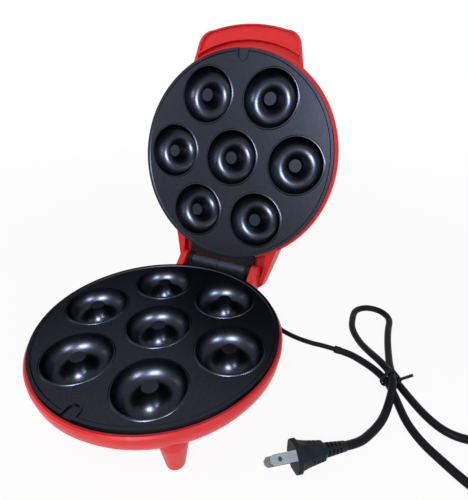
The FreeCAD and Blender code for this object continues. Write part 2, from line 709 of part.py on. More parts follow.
def housing(inset):
    """The rear hinge cover's form, set in by a wall thickness."""
    end_y = HOUSING_END_Y - inset
    root, end = HOUSING_ROOT_HALF - inset, HOUSING_END_HALF - inset
    face = HOUSING_FACE - (1 if inset else 0)
    roof = HOUSING_ROOF - inset
    cut = HOUSING_CORNER
    plan = prism_z([
        (root, HOUSING_ROOT_Y), (end + cut / 4, end_y - cut), (end - cut, end_y),
        (cut - end, end_y), (-end - cut / 4, end_y - cut), (-root, HOUSING_ROOT_Y),
    ], face, LID_DEPTH)
    side = prism_x([
        (HOUSING_ROOT_Y, face), (end_y, face), (end_y, roof - 2 * cut), (end_y - 2 * cut, roof),
        (HOUSING_ROOT_Y, roof + 2 * cut),
    ], -root, root)
    return plan.common(side)


def lid_shell():
    """The upper shell: a dome with the front handle and the hollow rear housing."""
    dome = shell_solid(LID_DEPTH, LID_SHOULDER_R, 0)
    low, high = HOUSING_FACE - 1, HOUSING_FACE + SHELL_WALL
    skin = block((HOUSING_END_HALF, HOUSING_ROOT_Y, low), (HOUSING_ROOT_HALF, HOUSING_END_Y, high))
    cover = housing(0).cut(housing(HOUSING_WALL).cut(Part.makeCompound(both_sides(skin))))
    solid = joined([dome, cover, lift_handle()])
    removed = [shell_hollow(LID_DEPTH, LID_SHOULDER_R, 0)] + bracket_slots(EAR_X_LID)
    for x in (-LENS_X, LENS_X):
        removed.append(rod(LENS_R + LENS_GAP, (x, LENS_AT[1], BOSS_Z), (x, LENS_AT[1], LID_DEPTH + 1)))
    z = PLATE_WALL + BRACKET_TAB_H * 0.6
    for x in (-SHELL_SCREW_X, SHELL_SCREW_X):
        removed.append(rod(BRACKET_SCREW_R + SCREW_GAP, (x, LEAF_Y1, z), (x, SHELL_R + 2, z)))
    return solid.cut(Part.makeCompound(removed)).removeSplitter()


def lid_shell_screws():
    """Two screws from inside the housing, through the shell into the bracket's tab."""
    z = PLATE_WALL + BRACKET_TAB_H * 0.6
    seat = SHELL_R - 0.6
    screws = []
    for x in (-SHELL_SCREW_X, SHELL_SCREW_X):
        tip, top = (x, LEAF_Y1 - 3, z), (x, seat + 1.6, z)
        screws.append(screw(BRACKET_SCREW_R - SCREW_GAP / 2, BRACKET_HEAD_R, tip, (x, seat, z), top))
    return Part.makeCompound(screws)


def lens_seat():
    """Depth of the dome's inside at the lenses."""
    side = shell_outline(LID_DEPTH, LID_SHOULDER_R, 0, SHELL_WALL)
    far = math.hypot(LENS_X, LENS_AT[1]) + LENS_R + LENS_FLANGE
    points = sorted(side[::2])
    for (r0, z0), (r1, z1) in zip(points, points[1:]):
        if r0 <= far <= r1:
            return z0 + (z1 - z0) * (far - r0) / (r1 - r0)
    return points[0][1]


def lens(side):
    """A clear indicator lens, held by a flange under the dome."""
    x, y = side * LENS_X, LENS_AT[1]
    seat = lens_seat() - LENS_GAP
    top = seat + SHELL_WALL + LENS_FLANGE + LENS_PROUD
    body = rod(LENS_R, (x, y, seat - LENS_FLANGE), (x, y, top - 0.8))
    crown = Part.makeCone(LENS_R, LENS_R - 1.0, 0.8, Vector(x, y, top - 0.8))
    flange = rod(LENS_R + LENS_FLANGE, (x, y, seat - LENS_FLANGE), (x, y, seat))
    return joined([body, crown, flange])


def lamp_top():
    return lens_seat() - LENS_GAP - LENS_FLANGE


def lamp_holder():
    """A moulded carrier that holds both lamps under their lenses."""
    x, y = LENS_AT
    half = LAMP_R + HOLDER_WALL
    top = lamp_top()
    body = block((-x - half, y - half, top - LAMP_LEN), (x + half, y + half, top))
    bores = [
        rod(LAMP_R + LENS_GAP, (side * x, y, top - LAMP_LEN + 1), (side * x, y, top + 1)) for side in (-1, 1)
    ]
    return body.cut(Part.makeCompound(bores))


def lamps():
    """Two small lamps in the carrier."""
    x, y = LENS_AT
    top = lamp_top()
    return Part.makeCompound([
        rod(LAMP_R, (side * x, y, top - LAMP_LEN + 1), (side * x, y, top - 0.3)) for side in (-1, 1)
    ])


def thermostat():
    """A disc thermostat under the middle well, with two tabs."""
    can = rod(THERMOSTAT_R, (0, 0, CUP_BOTTOM), (0, 0, CUP_BOTTOM + THERMOSTAT_H))
    top = CUP_BOTTOM + THERMOSTAT_H
    tabs = [
        block((x - 2, -TAB_T / 2, top - 1), (x + 2, TAB_T / 2, top + TAB_LEN)) for x in (-TAB_X, TAB_X)
    ]
    return joined([can] + tabs)


def thermal_fuse():
    """A thermal fuse in its clamp, on the middle well."""
    x, y, z = FUSE_SIZE
    return block((-x / 2, -y / 2, CUP_BOTTOM), (x / 2, y / 2, CUP_BOTTOM + z))


def faceted_tube(points, radius, sides, share):
    """A tube along straight runs joined by tangent arcs, as large as the shorter run allows."""
    edges = []
    radii = []
    at = points[0]
    for before, here, after in zip(points, points[1:], points[2:]):
        back, on = before - here, after - here
        reach = share * min(back.Length, on.Length)
        start = here + back * (reach / back.Length)
        end = here + on * (reach / on.Length)
        half_turn = (math.pi - back.getAngle(on)) / 2
        bend = reach / math.tan(half_turn)
        bisector = (back.normalize() + on.normalize()).normalize()
        middle = here + bisector * (bend / math.cos(half_turn) - bend)
        edges += [Part.LineSegment(at, start).toShape(), Part.Arc(start, middle, end).toShape()]
        radii.append(bend)
        at = end
    edges.append(Part.LineSegment(at, points[-1]).toShape())
    path = Part.Wire(edges)
    heading = (points[1] - points[0]).normalize()
    across = heading.cross(Z_AXIS).normalize()
    up = across.cross(heading)
    corner = radius / math.cos(math.pi / sides)
    section = []
    for i in range(sides):
        angle = 2 * math.pi * (i + 0.5) / sides
        section.append(points[0] + across * (corner * math.cos(angle)) + up * (corner * math.sin(angle)))
    section = outline(section)
    tube = path.makePipeShell([section], True, False)
    area = Part.Face(section).Area
    return tube, path, radii, area


def say_tube(name, tube, path, radii, area, radius):
    """Print a tube's length, bends, volume and least gap to itself."""
    print(name, "length", round(path.Length, 1), "bend radii", [round(r, 1) for r in radii])
    print(name, "volume over section times length", round(tube.Volume / (area * path.Length), 4))
    step = radius
    points = path.discretize(int(path.Length / step) + 1)
    apart = int(10 * radius / step)
    least = min(
        (a - b).Length for i, a in enumerate(points) for b in points[i + apart:]
    )
    print(name, "least gap to itself", round(least - 2 * radius, 2))


def free_cord(name, points, radius):
    """A stretch of cord along its route."""
    tube, path, radii, area = faceted_tube(points, radius, CORD_SIDES, TURN_SHARE)
    say_tube(name, tube, path, radii, area, radius)
    return tube


def cord_gland():
    """A strain relief through the stop block's side: flange, neck, elbow and taper."""
    inner = BLOCK_HALF - BLOCK_WALL
    elbow = gland_elbow()
    y, z = elbow.y, FACE_Z - GLAND_DEPTH
    flange = rod(GLAND_R + GLAND_FLANGE, (inner - GLAND_FLANGE, y, z), (inner, y, z))
    neck = rod(GLAND_R - SCREW_GAP, (inner - GLAND_FLANGE, y, z), (GLAND_START, y, z))
    wall = Vector(GLAND_START, y, z)
    ring = Part.Face(Part.Wire([Part.Circle(wall, X_AXIS, GLAND_R + 1).toShape()]))
    bend = ring.revolve(wall - Z_AXIS * GLAND_BEND, Y_AXIS, GLAND_TILT)
    taper = Part.makeCone(GLAND_R + 1, GLAND_TIP_R, GLAND_LEN, elbow, gland_ahead())
    return joined([flange, neck, bend, taper])


def terminal_block():
    """The block on the bowl's floor where the lead meets the inner wires."""
    length, width = BLOCK_SIZE
    x, y = BLOCK_AT[0], BLOCK_AT[1] + AXIS_Y
    floor = block_level() - BLOCK_H / 2
    return block((x - length / 2, y - width / 2, floor), (x + length / 2, y + width / 2, floor + BLOCK_H))


def block_level():
    """Middle height of the terminal block, which stands on the bowl's floor."""
    return FACE_Z - BASE_DEPTH + SHELL_WALL + BLOCK_H / 2


def base_wires():
    """Two inner wires from the block, to the thermostat's tab and to the heater's terminal."""
    x, y = BLOCK_AT
    level = block_level()
    side = y + BLOCK_SIZE[1] / 2
    tab_z = FACE_Z - CUP_BOTTOM - THERMOSTAT_H - TAB_LEN / 2
    tab_y = -TAB_T / 2
    first = [(TAB_X, side, level), (TAB_X, side + WIRE_STUB, level),
             (TAB_X, tab_y - WIRE_STUB, tab_z), (TAB_X, tab_y, tab_z)]
    pin_x, pin_y = heater_ends()[0]
    pin_z = FACE_Z - BOSS_Z - 2 - TERMINAL_LEN / 2
    start = x - BLOCK_SIZE[0] / 2
    second = [(start, y, level), (start - WIRE_STUB, y, level), (start - WIRE_SWING, 0, level + WIRE_R),
              (pin_x - WIRE_SWING, pin_y, pin_z), (pin_x - TERMINAL_R, pin_y, pin_z)]
    return Part.makeCompound([
        faceted_tube([beside_axis(p) for p in route], WIRE_R, 6, TURN_SHARE)[0] for route in (first, second)
    ])


def inner_lead():
    """The lead's inner end, from the gland to the terminal block."""
    x, y = BLOCK_AT
    level = block_level()
    start = BLOCK_HALF - BLOCK_WALL - GLAND_FLANGE
    end = x + BLOCK_SIZE[0] / 2
    gland_z = FACE_Z - GLAND_DEPTH
    route = [(start, GLAND_Y, gland_z), (start - WIRE_STUB, GLAND_Y, gland_z),
             (end + WIRE_SWING + LEAD_R, 2 * HEATER_RING_R, level + LEAD_R),
             (end + WIRE_SWING + LEAD_R / 2, 0, level + LEAD_R / 2),
             (end + WIRE_SWING, y, level), (end, y, level)]
    return faceted_tube([beside_axis(p) for p in route], LEAD_R, CORD_SIDES, TURN_SHARE)[0]


def lid_wires():
    """A wire from the lid heater's terminal to the lamp carrier."""
    pin_x, pin_y = heater_ends()[1]
    level = BOSS_Z + 2 + TERMINAL_LEN / 2
    end_y = LENS_AT[1] + LAMP_R + HOLDER_WALL
    low = lamp_top() - LAMP_LEN / 2
    route = [(pin_x + TERMINAL_R, pin_y, level), (pin_x + WIRE_STUB, pin_y, level),
             (pin_x + WIRE_SWING, 0, level), (LENS_X, end_y + WIRE_SWING, low), (LENS_X, end_y, low)]
    return faceted_tube([Vector(*p) for p in route], WIRE_R, 6, TURN_SHARE)[0]


def plug_axis():
    """The direction from the cord's end to the plug's face."""
    return (beside_gland(PLUG_FACE) - beside_gland(CORD_END)).normalize()


def cord_points():
    """The cord's whole route; its last run lies on the plug's axis."""
    end = beside_gland(CORD_END)
    return [beside_gland(p) for p in CORD_ROUTE] + [end - plug_axis() * CORD_LAST_RUN, end]


def lead_points():
    """The thin lead's route, straight out of the gland."""
    start = gland_mouth()
    return [start, start + gland_ahead() * LEAD_FIRST_RUN] + [beside_gland(p) for p in LEAD_ROUTE]


def plug_frame():
    """The plug's placement: local z runs out along the blades, local y parts the blades."""
    back, front = beside_gland(CORD_END), beside_gland(PLUG_FACE)
    axis = plug_axis()
    flat = Vector(-axis.y, axis.x, 0).normalize()
    rise = flat.cross(axis)
    if rise.z < 0:
        rise = rise * -1
    roll = math.radians(PLUG_ROLL)
    part = rise * math.cos(roll) + flat * math.sin(roll)
    across = part.cross(axis)
    matrix = FreeCAD.Matrix(
        across.x, part.x, axis.x, front.x,
        across.y, part.y, axis.y, front.y,
        across.z, part.z, axis.z, front.z,
        0, 0, 0, 1,
    )
    return FreeCAD.Placement(matrix), (front - back).Length


def plug_section(size, z):
    """A rectangle with cut corners, as a wire at a height."""
    half_x, half_y = size[0] / 2, size[1] / 2
    cut = PLUG_CORNER * min(size)
    corners = [
        (half_x - cut, -half_y), (half_x, cut - half_y), (half_x, half_y - cut), (half_x - cut, half_y),
        (cut - half_x, half_y), (-half_x, half_y - cut), (-half_x, cut - half_y), (cut - half_x, -half_y),
    ]
    return outline([Vector(x, y, z) for x, y in corners])


def plug_body():
    """A moulded plug: a flanged front, a tapered grip and a slotted strain relief."""
    placement, length = plug_frame()
    width, height, rim = PLUG_FLANGE
    neck = 2 * CORD_R + 1
    sections = [
        plug_section((width, height), 0), plug_section((width, height), -rim),
        plug_section(PLUG_WAIST, -PLUG_WAIST_AT), plug_section(PLUG_BACK, -PLUG_BACK_AT),
        plug_section(RELIEF, -RELIEF_AT), plug_section((neck, neck), -length),
    ]
    body = Part.makeLoft(sections, True, True)
    slots = []
    for i in range(RELIEF_RIBS):
        behind = RELIEF_PITCH * (i + 0.5)
        share = behind / (length - RELIEF_AT)
        half_x, half_y = (size / 2 + (neck - size) / 2 * share - RELIEF_SLOT_D for size in RELIEF)
        low, high = -RELIEF_AT - behind - RELIEF_SLOT / 2, -RELIEF_AT - behind + RELIEF_SLOT / 2
        ring = block((-width, -width, low), (width, width, high))
        core = block((-half_x, -half_y, low), (half_x, half_y, high))
        web = block((-RELIEF_WEB, -width, low), (RELIEF_WEB, width, high))
        slots.append(ring.cut(Part.makeCompound([core, web])))
    body = body.cut(Part.makeCompound(slots))
    body.Placement = placement
    return body


def plug_blades():
    """Two flat blades, each with its hole and pointed end."""
    placement, _ = plug_frame()
    half, shoulder = BLADE_W / 2, BLADE_LEN - BLADE_POINT
    profile = [
        (-half, 0), (half, 0), (half, shoulder), (half - BLADE_POINT, BLADE_LEN),
        (BLADE_POINT - half, BLADE_LEN), (-half, shoulder),
    ]
    blades = []
    for side in (-1, 1):
        y = side * BLADE_PITCH / 2 - BLADE_T / 2
        face = Part.Face(outline([Vector(x, y, z) for x, z in profile]))
        hole = rod(BLADE_HOLE_R, (0, y - 1, BLADE_HOLE_AT), (0, y + BLADE_T + 1, BLADE_HOLE_AT))
        blades.append(face.extrude(Vector(0, BLADE_T, 0)).cut(hole))
    pair = Part.makeCompound(blades)
    pair.Placement = placement
    return pair


def tie_strands(centre, ahead, across):
    """Where the cord's strands pass the tie, as points across and up, the farthest last."""
    strands = []
    route = [p - centre for p in cord_points()]
    for here, after in zip(route, route[1:]):
        short, past = here.dot(ahead), after.dot(ahead)
        if short * past < 0:
            point = here + (after - here) * (short / (short - past))
            if point.Length < TIE_REACH:
                strands.append(Vector(point.dot(across), point.z, 0))
    return sorted(strands, key=lambda strand: strand.x)


def twist_tie():
    """A flat tie round the three strands, with its twisted tail."""
    turn = math.radians(TIE_HEADING)
    ahead = Vector(math.cos(turn), math.sin(turn), 0)
    across = Vector(-ahead.y, ahead.x, 0)
    centre = beside_gland((TIE_AT[0], TIE_AT[1], 0))
    strands = tie_strands(centre, ahead, across)
    wire = outline(strands)
    inner = Part.Face(wire.makeOffset2D(CORD_R + TIE_CLEAR)).extrude(Vector(0, 0, TIE_W))
    outer = Part.Face(wire.makeOffset2D(CORD_R + TIE_CLEAR + TIE_T)).extrude(Vector(0, 0, TIE_W))
    length, width, thick = TIE_TAIL
    edge = strands[-1].x + CORD_R + TIE_CLEAR
    level = strands[-1].y
    tail = block((edge, level, (TIE_W - width) / 2), (edge + length, level + thick, (TIE_W + width) / 2))
    tail.rotate(Vector(edge, level, 0), Z_AXIS, 20)
    band = outer.fuse(tail).removeSplitter().cut(inner)
    start = centre - ahead * (TIE_W / 2)
    matrix = FreeCAD.Matrix(
        across.x, 0, ahead.x, start.x, across.y, 0, ahead.y, start.y, 0, 1, 0, 0, 0, 0, 0, 1
    )
    band.Placement = FreeCAD.Placement(matrix)
    return band


def all_parts():
    """Every sub-part by its name, in place."""
    plate, element, shield = cooking_plate(), heater(), heat_shield()
    screws = bracket_screws()
    return {
        "base_shell": in_base(base_shell()),
        "foot_pads": in_base(foot_pads()),
        "base_plate": in_base(plate),
        "base_heater": in_base(element),
        "base_heat_shield": in_base(shield),
        "base_plate_screws": in_base(plate_screws(BOSS_Z + SHELL_WALL)),
        "thermostat": in_base(thermostat()),
        "terminal_block": terminal_block(),
        "base_wires": base_wires(),
        "inner_lead": inner_lead(),
        "base_hinge_bracket": in_base(hinge_bracket(EAR_X_BASE, False)),
        "base_bracket_screws": in_base(screws),
        "hinge_pin": in_base(hinge_pin()),
        "hinge_sleeve_right": in_base(hinge_sleeve(-1)),
        "hinge_sleeve_left": in_base(hinge_sleeve(1)),
        "lid_shell": in_lid(lid_shell()),
        "lid_plate": in_lid(plate),
        "lid_heater": in_lid(element),
        "lid_heat_shield": in_lid(shield),
        "lid_shield_screws": in_lid(plate_screws(BOSS_Z)),
        "thermal_fuse": in_lid(thermal_fuse()),
        "lid_hinge_bracket": in_lid(hinge_bracket(EAR_X_LID, True)),
        "lid_bracket_screws": in_lid(screws),
        "lid_shell_screws": in_lid(lid_shell_screws()),
        "power_lens": in_lid(lens(-1)),
        "ready_lens": in_lid(lens(1)),
        "lamp_holder": in_lid(lamp_holder()),
        "lamps": in_lid(lamps()),
        "lid_wires": in_lid(lid_wires()),
        "cord_gland": cord_gland(),
        "supply_lead": free_cord("supply_lead", lead_points(), LEAD_R),
        "power_cord": free_cord("power_cord", cord_points(), CORD_R),
        "twist_tie": twist_tie(),
        "plug_body": plug_body(),
        "plug_blades": plug_blades(),
    }


def main():
    os.makedirs("parts", exist_ok=True)
    for name, shape in all_parts().items():
        shape.exportStep(os.path.join("parts", name + ".step"))


main()
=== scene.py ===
import json
import math

import bmesh
import bpy
from mathutils import Matrix, Vector


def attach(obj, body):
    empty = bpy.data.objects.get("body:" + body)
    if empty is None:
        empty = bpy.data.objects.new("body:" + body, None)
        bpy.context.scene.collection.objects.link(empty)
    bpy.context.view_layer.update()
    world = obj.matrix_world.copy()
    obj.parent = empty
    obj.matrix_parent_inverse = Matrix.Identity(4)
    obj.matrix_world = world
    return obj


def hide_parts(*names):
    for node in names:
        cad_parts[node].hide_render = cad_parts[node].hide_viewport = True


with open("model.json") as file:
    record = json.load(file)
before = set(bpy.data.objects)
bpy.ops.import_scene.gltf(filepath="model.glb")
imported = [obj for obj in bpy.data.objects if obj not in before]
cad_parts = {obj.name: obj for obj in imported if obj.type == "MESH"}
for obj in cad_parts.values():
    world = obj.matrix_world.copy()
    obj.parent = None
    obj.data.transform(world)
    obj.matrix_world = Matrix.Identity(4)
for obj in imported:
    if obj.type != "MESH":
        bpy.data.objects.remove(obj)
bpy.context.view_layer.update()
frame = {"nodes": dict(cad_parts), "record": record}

NODES = frame["nodes"]


# Places and sizes of the part, in metres
AXIS_Y = -0.0398
FACE_Z = 0.048
PLATE_GAP = 0.002
HINGE = Vector((0.0, 0.065, 0.049))
OPEN_ANGLE = math.radians(104.7)
WELL_RING_R = 0.0624
WELL_R = 0.025
WELL_POST_R = 0.0056
WELL_DEPTH = 0.0125
LIP_W = 0.0015
LIP_TILTS = (math.radians(52), math.radians(-8))
LIP_NEAR = 0.0001
SHELL_R = 0.0978
BAND_DEPTH = 0.007

# Shells: depth, shoulder radius and radius of the flat middle
BASE_FORM = (0.030, 0.02001, 0.045)
LID_FORM = (0.033, 0.01794, 0.0)

# Widest angle between a face and the curve that it follows
WELL_BEND = math.radians(42)
SHELL_BEND = math.radians(24)

# Camera, from the middle of the lower cooking face: azimuth, elevation and roll; right, up and back; lens in mm
CAMERA_ANGLES = (25.267, 28.094, 0.245)
CAMERA_SHIFT = (0.059428, 0.059822, 0.306651)
CAMERA_LENS = 27.912

# Cord, in metres
LEAD_R = 0.0022
CORD_R = 0.00305
LEAD_ROUTE = (
    (0.0589, 0.0507, 0.0149), (0.0634, 0.0507, 0.0095), (0.0701, 0.0494, 0.0054), (0.0781, 0.0473, 0.0036),
    (0.0911, 0.0452, 0.0026), (0.1071, 0.0444, 0.0027), (0.1141, 0.0448, 0.0034), (0.1257, 0.0448, 0.0034),
)
CORD_ROUTE = (
    (0.1257, 0.0448, 0.0034), (0.1381, 0.0448, 0.0034), (0.1501, 0.0402, 0.0036), (0.1616, 0.0336, 0.0045),
    (0.1721, 0.0247, 0.0049), (0.1785, 0.0145, 0.0043), (0.1839, 0.0030, 0.0034), (0.1905, -0.0103, 0.0034),
    (0.2006, -0.0220, 0.0034), (0.2126, -0.0304, 0.0034), (0.2235, -0.0376, 0.0034), (0.2331, -0.0429, 0.0034),
    (0.2496, -0.0442, 0.0034), (0.2613, -0.0328, 0.0034), (0.2613, -0.0158, 0.0034), (0.2496, -0.0042, 0.0034),
    (0.2331, -0.0050, 0.0034), (0.2231, -0.0066, 0.0034), (0.2137, -0.0049, 0.0034), (0.2044, 0.0009, 0.0034),
    (0.1954, 0.0094, 0.0035), (0.1871, 0.0182, 0.0043), (0.1779, 0.0284, 0.0049), (0.1731, 0.0415, 0.0043),
    (0.1705, 0.0572, 0.0034), (0.1678, 0.0752, 0.0034), (0.1662, 0.0942, 0.0034), (0.1664, 0.1117, 0.0034),
    (0.1563, 0.1218, 0.0034), (0.1421, 0.1218, 0.0034), (0.1320, 0.1117, 0.0034), (0.1322, 0.0962, 0.0034),
    (0.1345, 0.0802, 0.0034), (0.1441, 0.0642, 0.0034), (0.1543, 0.0504, 0.0070), (0.1649, 0.0380, 0.0108),
    (0.1745, 0.0267, 0.0114), (0.1770, 0.0152, 0.0117), (0.1766, 0.0034, 0.0074), (0.1753, -0.0075, 0.0034),
    (0.1727, -0.0185, 0.0034), (0.1679, -0.0298, 0.0034), (0.1617, -0.0408, 0.0034), (0.1537, -0.0482, 0.0050),
)

# The jacket's end: radius and distance along the cord
JACKET_PROFILE = (
    (LEAD_R, 0.0004), (0.0028, 0.0), (0.0032, 0.0004), (0.0033, 0.0012), (0.0033, 0.0052), (0.0030, 0.0062),
)

# Tie, in metres
TIE_CENTRE = Vector((0.1750, 0.0265, 0.0))
TIE_HEADING = math.radians(-57)
TIE_WIRE_R = 0.0007
TIE_CLEAR = 1.4 * TIE_WIRE_R
TIE_REACH = 0.016
TIE_TURNS = 2
TIE_STEPS = 36
TIE_SPREAD = 0.0016
TAIL_POINTS = 25
TAIL_START = 0.0008
TAIL_STEP = 0.0004
TAIL_RISE = 0.00013

# Plug sections from its face back: depth, half width, half height, corner share, squareness
PLUG_FACE = Vector((0.1248, -0.0748, 0.0106))
PLUG_ROLL = math.radians(30)
PLUG_FRONT = (
    (0.0000, 0.0103, 0.0073, 0.70, 45), (0.0004, 0.0107, 0.0077, 0.70, 45), (0.0031, 0.0107, 0.0077, 0.70, 45),
    (0.0035, 0.0104, 0.0075, 0.70, 40), (0.0043, 0.0093, 0.0072, 0.72, 30),
)
PLUG_GRIP = ((0.0090, 0.0081, 0.0069, 0.73, 24), (0.0212, 0.0064, 0.0058, 0.73, 18))
PLUG_RELIEF = ((0.0230, 0.0048, 0.0046, 0.71, 14), (0.0390, 0.0035, 0.0035, 0.71, 8))
PLUG_END = (0.0396, 0.0032, 0.0032, 0.71, 8)
PLUG_POINTS = 96
PLUG_CREASE = math.radians(28)
GRIP_GROOVES = (0.0118, 0.0150, 0.0182)
GROOVE_W = 0.0012
GROOVE_SUNK = 0.0006
GROOVE_KEPT = 0.0052
RELIEF_SLOTS = (0.0246, 0.0277, 0.0308, 0.0339)
SLOT_W = 0.0015
SLOT_SUNK = 0.0012
SLOT_WEB = 0.0009

# Noise between these values runs over a material's whole range
NOISE_RANGE = (0.3, 0.7)
RELIEF_DEPTH = 0.0001
BLACK_TINT = (0.68, 0.82, 1)

# Floor: sizes in metres, distances at which it runs into white, and how white it is near the part
FLOOR_R = 6
FLOOR_DROP = 0.0004
FLOOR_COLOUR = (0.93, 0.93, 0.93, 1)
FADE_RANGE = (0.3, 0.9)
FADE_NEAR = 0.92

# Lamps: name, place, target, size and power
WORLD_LIGHT = 0.32
LAMPS = (
    ("lamp_front", (0.20, -0.85, 0.60), (0, 0, 0.1), (0.35, 0.35), 4.8),
    ("lamp_over", (-0.05, -0.35, 1.15), (0, 0, 0.1), (0.35, 0.25), 1),
    ("lamp_left", (-0.9, -0.55, 0.45), (0, 0, 0.12), (0.25, 0.7), 2.2),
    ("lamp_right", (0.95, -0.45, 0.40), (0, 0, 0.12), (0.25, 0.7), 2.2),
)
GLOSS_LAMPS = (
    ("gloss_front", (0.31, -0.90, 0.83), (0, 0, 0.1), (0.42, 0.42), 58),
    ("gloss_right", (1.04, -0.34, 0.59), (0, 0, 0.1), (0.28, 0.28), 29),
)
GLOSS_COLOUR = (0.75, 0.86, 1)
GLOSSED = ("base_plate", "lid_plate", "hinge_sleeve_left", "hinge_sleeve_right")


def add_object(name, data):
    added = bpy.data.objects.new(name, data)
    bpy.context.scene.collection.objects.link(added)
    return added


def set_camera():
    az, el, roll = (math.radians(angle) for angle in CAMERA_ANGLES)
    back = Vector((math.sin(az) * math.cos(el), -math.cos(az) * math.cos(el), math.sin(el)))
    right = Vector((math.cos(az), math.sin(az), 0))
    up = back.cross(right)
    across, rise, away = CAMERA_SHIFT
    data = bpy.data.cameras.new("camera")
    data.sensor_width = 36
    data.lens = CAMERA_LENS
    data.clip_start = 0.01
    camera = add_object("camera", data)
    turn = Matrix((right, up, back)).transposed() @ Matrix.Rotation(roll, 3, "Z")
    place = Vector((0, AXIS_Y, FACE_Z)) + right * across + up * rise + back * away
    camera.matrix_world = Matrix.Translation(place) @ turn.to_4x4()
    bpy.context.scene.camera = camera


# Materials


def surface(name, colours, patch, roughness, grain, metallic=0.0, specular=0.5, tint=(1, 1, 1), edge=0.0,
            stretch=(1, 1, 1)):
    """A material whose colour, gloss and fine relief vary by noise.

    patch is the colour noise's scale, grain the relief's scale and strength, and edge a rounding of the edges.
    """
    material = bpy.data.materials.new(name)
    material.use_nodes = True
    nodes, links = material.node_tree.nodes, material.node_tree.links
    shader = nodes["Principled BSDF"]
    shader.inputs["Metallic"].default_value = metallic
    shader.inputs["Specular IOR Level"].default_value = specular
    shader.inputs["Specular Tint"].default_value = (*tint, 1)
    where = nodes.new("ShaderNodeTexCoord")
    scaled = nodes.new("ShaderNodeMapping")
    scaled.inputs["Scale"].default_value = stretch
    links.new(where.outputs["Object"], scaled.inputs["Vector"])

    def noise(scale, detail):
        node = nodes.new("ShaderNodeTexNoise")
        node.inputs["Scale"].default_value = scale
        node.inputs["Detail"].default_value = detail
        links.new(scaled.outputs["Vector"], node.inputs["Vector"])
        return node.outputs["Fac"]

    ramp = nodes.new("ShaderNodeValToRGB")
    for element, position, colour in zip(ramp.color_ramp.elements, NOISE_RANGE, colours):
        element.position = position
        element.color = (*colour, 1)
    links.new(noise(patch, 4), ramp.inputs["Fac"])
    links.new(ramp.outputs["Color"], shader.inputs["Base Color"])
    gloss = nodes.new("ShaderNodeMapRange")
    for end, position, value in zip(("Min", "Max"), NOISE_RANGE, roughness):
        gloss.inputs["From " + end].default_value = position
        gloss.inputs["To " + end].default_value = value
    links.new(noise(patch * 4, 3), gloss.inputs["Value"])
    links.new(gloss.outputs["Result"], shader.inputs["Roughness"])
    relief = nodes.new("ShaderNodeBump")
    relief.inputs["Strength"].default_value = grain[1]
    relief.inputs["Distance"].default_value = RELIEF_DEPTH
    links.new(noise(grain[0], 2), relief.inputs["Height"])
    if edge:
        rounding = nodes.new("ShaderNodeBevel")
        rounding.samples = 6
        rounding.inputs["Radius"].default_value = edge
        links.new(rounding.outputs["Normal"], relief.inputs["Normal"])
    links.new(relief.outputs["Normal"], shader.inputs["Normal"])
    return material


MATERIALS = {
    "red_plastic": dict(
        colours=((0.60, 0.015, 0.018), (0.64, 0.018, 0.021)), patch=60, roughness=(0.34, 0.42),
        grain=(900, 0.06), specular=0.3),
    "plate_coating": dict(
        colours=((0.021, 0.023, 0.030), (0.026, 0.028, 0.0365)), patch=420, roughness=(0.29, 0.34),
        grain=(2600, 0.06), metallic=1.0, tint=(0.14, 0.13, 0.10)),
    "black_steel": dict(
        colours=((0.006, 0.007, 0.010), (0.011, 0.012, 0.016)), patch=160, roughness=(0.36, 0.48),
        grain=(1500, 0.12), specular=0.12, tint=BLACK_TINT, edge=0.0003),
    "barrel_steel": dict(
        colours=((0.016, 0.020, 0.028), (0.026, 0.031, 0.041)), patch=120, roughness=(0.26, 0.36),
        grain=(1200, 0.1), specular=0.3, tint=BLACK_TINT, edge=0.0003),
    "steel": dict(
        colours=((0.50, 0.50, 0.52), (0.64, 0.64, 0.66)), patch=300, roughness=(0.26, 0.40),
        grain=(1800, 0.1), metallic=1.0, edge=0.0002),
    "heater_steel": dict(
        colours=((0.20, 0.21, 0.20), (0.33, 0.34, 0.33)), patch=200, roughness=(0.50, 0.65),
        grain=(900, 0.2), metallic=1.0),
    "sheet_aluminium": dict(
        colours=((0.68, 0.68, 0.70), (0.80, 0.80, 0.82)), patch=90, roughness=(0.32, 0.46),
        grain=(600, 0.15), metallic=1.0, stretch=(1, 12, 1)),
    "rubber": dict(
        colours=((0.016, 0.016, 0.017), (0.030, 0.030, 0.031)), patch=300, roughness=(0.60, 0.75),
        grain=(2200, 0.3), edge=0.0003),
    "cord_rubber": dict(
        colours=((0.004, 0.004, 0.006), (0.008, 0.008, 0.011)), patch=140, roughness=(0.34, 0.42),
        grain=(1400, 0.12), specular=0.08),
    "plug_plastic": dict(
        colours=((0.007, 0.011, 0.016), (0.013, 0.018, 0.025)), patch=180, roughness=(0.36, 0.48),
        grain=(2400, 0.15), specular=0.12, tint=BLACK_TINT, edge=0.0003),
    "blade_metal": dict(
        colours=((0.27, 0.31, 0.36), (0.31, 0.35, 0.40)), patch=160, roughness=(0.26, 0.32),
        grain=(600, 0.01), metallic=1.0),
    "inner_plastic": dict(
        colours=((0.62, 0.58, 0.50), (0.72, 0.69, 0.62)), patch=150, roughness=(0.45, 0.6), grain=(1200, 0.15)),
    "wire_sleeve": dict(
        colours=((0.66, 0.66, 0.62), (0.78, 0.78, 0.75)), patch=400, roughness=(0.6, 0.75), grain=(3000, 0.4)),
    "red_lens": dict(
        colours=((0.55, 0.012, 0.010), (0.70, 0.022, 0.016)), patch=400, roughness=(0.10, 0.18),
        grain=(1500, 0.05)),
    "green_lens": dict(
        colours=((0.02, 0.32, 0.06), (0.04, 0.45, 0.09)), patch=400, roughness=(0.10, 0.18), grain=(1500, 0.05)),
    "lamp_glass": dict(
        colours=((0.80, 0.74, 0.68), (0.90, 0.86, 0.80)), patch=300, roughness=(0.08, 0.14), grain=(900, 0.03)),
}
LOOKS = {name: surface(name, **row) for name, row in MATERIALS.items()}
